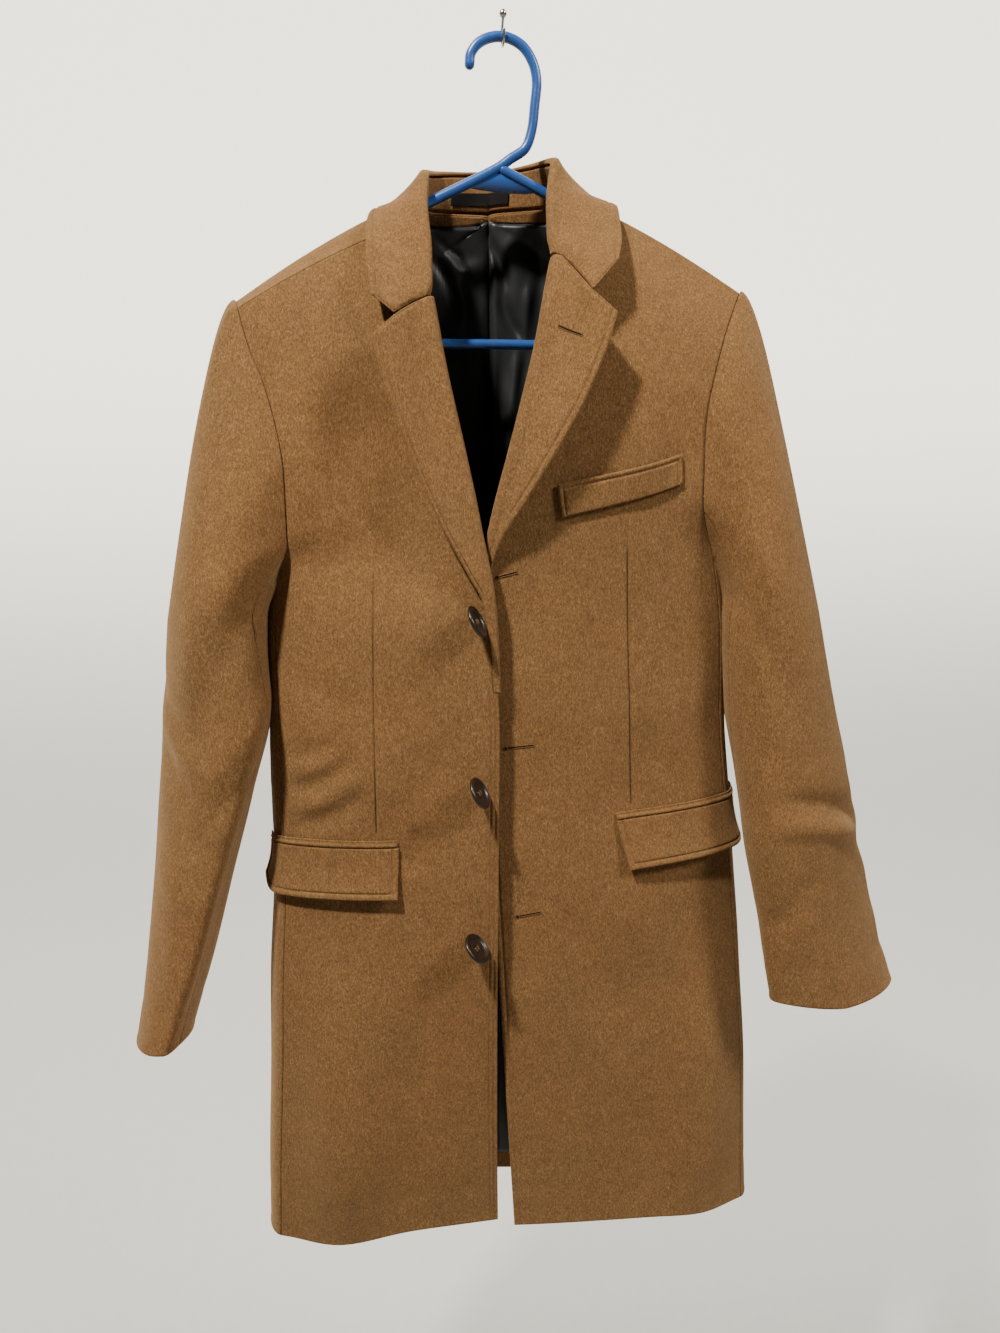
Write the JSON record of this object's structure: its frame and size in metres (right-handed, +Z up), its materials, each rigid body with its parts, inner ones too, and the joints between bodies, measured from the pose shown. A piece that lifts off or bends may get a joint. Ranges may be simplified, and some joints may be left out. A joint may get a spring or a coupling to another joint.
{
  "type": "wool coat on plastic hanger and wall hook",
  "caption": "Unbuttoned single-breasted wool overcoat with notched lapels and flap pockets, hanging on a tubular plastic hanger from a small wire screw hook",
  "frame": {"origin": "on the screw hook's axis, at the underside of the rail that it screws into, which is where the whole thing is held", "axes": "+Z is up. -Y is the coat's front. +X is the side of the wearer's left arm."},
  "size_m": [0.7329, 0.1658, 1.1168],
  "materials": {
    "wool": "camel-brown brushed wool coating, heathered, matt with a short nap",
    "lining": "black satin lining",
    "label": "plain dark woven label, bare",
    "button": "dark brown horn-like resin, polished",
    "hanger": "blue moulded plastic tube",
    "wire": "nickel-plated steel wire"
  },
  "bodies": {
    "root": {"front_right": "wool", "front_left": "wool", "side_right": "wool", "side_left": "wool", "back_right": "wool", "back_left": "wool", "sleeve_top_right": "wool", "sleeve_under_right": "wool", "sleeve_top_left": "wool", "sleeve_under_left": "wool", "lapel_right": "wool", "lapel_left": "wool", "collar_stand": "wool", "collar_fall": "wool", "neck_facing_right": "wool", "neck_facing_left": "wool", "flap_right": "wool", "flap_left": "wool", "jet_right": "wool", "jet_left": "wool", "chest_welt": "wool", "lining_back_right": "lining", "lining_back_left": "lining", "label": "label", "size_tag": "label", "button_top": "button", "button_middle": "button", "button_bottom": "button", "hanger": "hanger", "screw_hook": "wire"}
  },
  "joints": []
}
